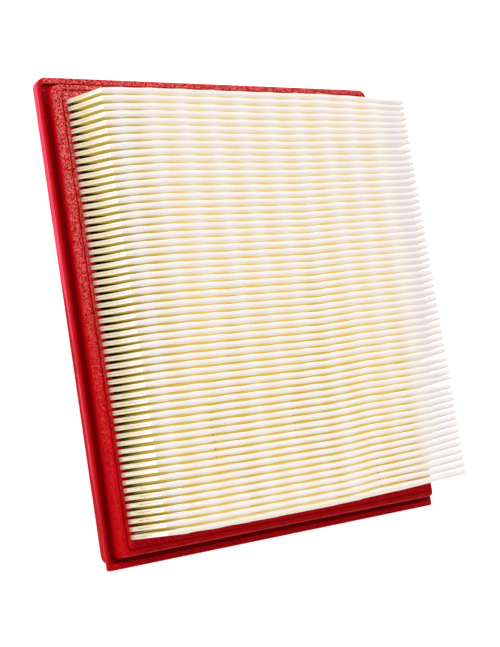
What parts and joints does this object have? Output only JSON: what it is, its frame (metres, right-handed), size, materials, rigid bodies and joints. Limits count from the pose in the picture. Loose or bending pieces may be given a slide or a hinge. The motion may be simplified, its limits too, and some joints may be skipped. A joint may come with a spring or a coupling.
{
  "type": "panel air filter",
  "caption": "Rectangular panel air filter: upright pleated paper potted in a moulded soft frame with a clamping flange and a raised collar.",
  "frame": {"origin": "middle of the frame's flat rear face, on the surface that the filter lies on", "axes": "+Z is the side where the pleats stand out, X runs along the folds, Y across them along the longer side"},
  "size_m": [0.202, 0.22, 0.0411],
  "materials": {
    "frame_polyurethane": "moulded skin, slightly wrinkled, semi-gloss",
    "filter_paper": "matte embossed filter paper",
    "adhesive": "thin translucent hot-melt line"
  },
  "bodies": {
    "root": {"frame": "frame_polyurethane", "pleated_paper": "filter_paper", "spacer_bead_front_1": "adhesive", "spacer_bead_front_2": "adhesive", "spacer_bead_front_3": "adhesive", "spacer_bead_front_4": "adhesive", "spacer_bead_rear_1": "adhesive", "spacer_bead_rear_2": "adhesive", "spacer_bead_rear_3": "adhesive", "spacer_bead_rear_4": "adhesive"}
  },
  "joints": []
}
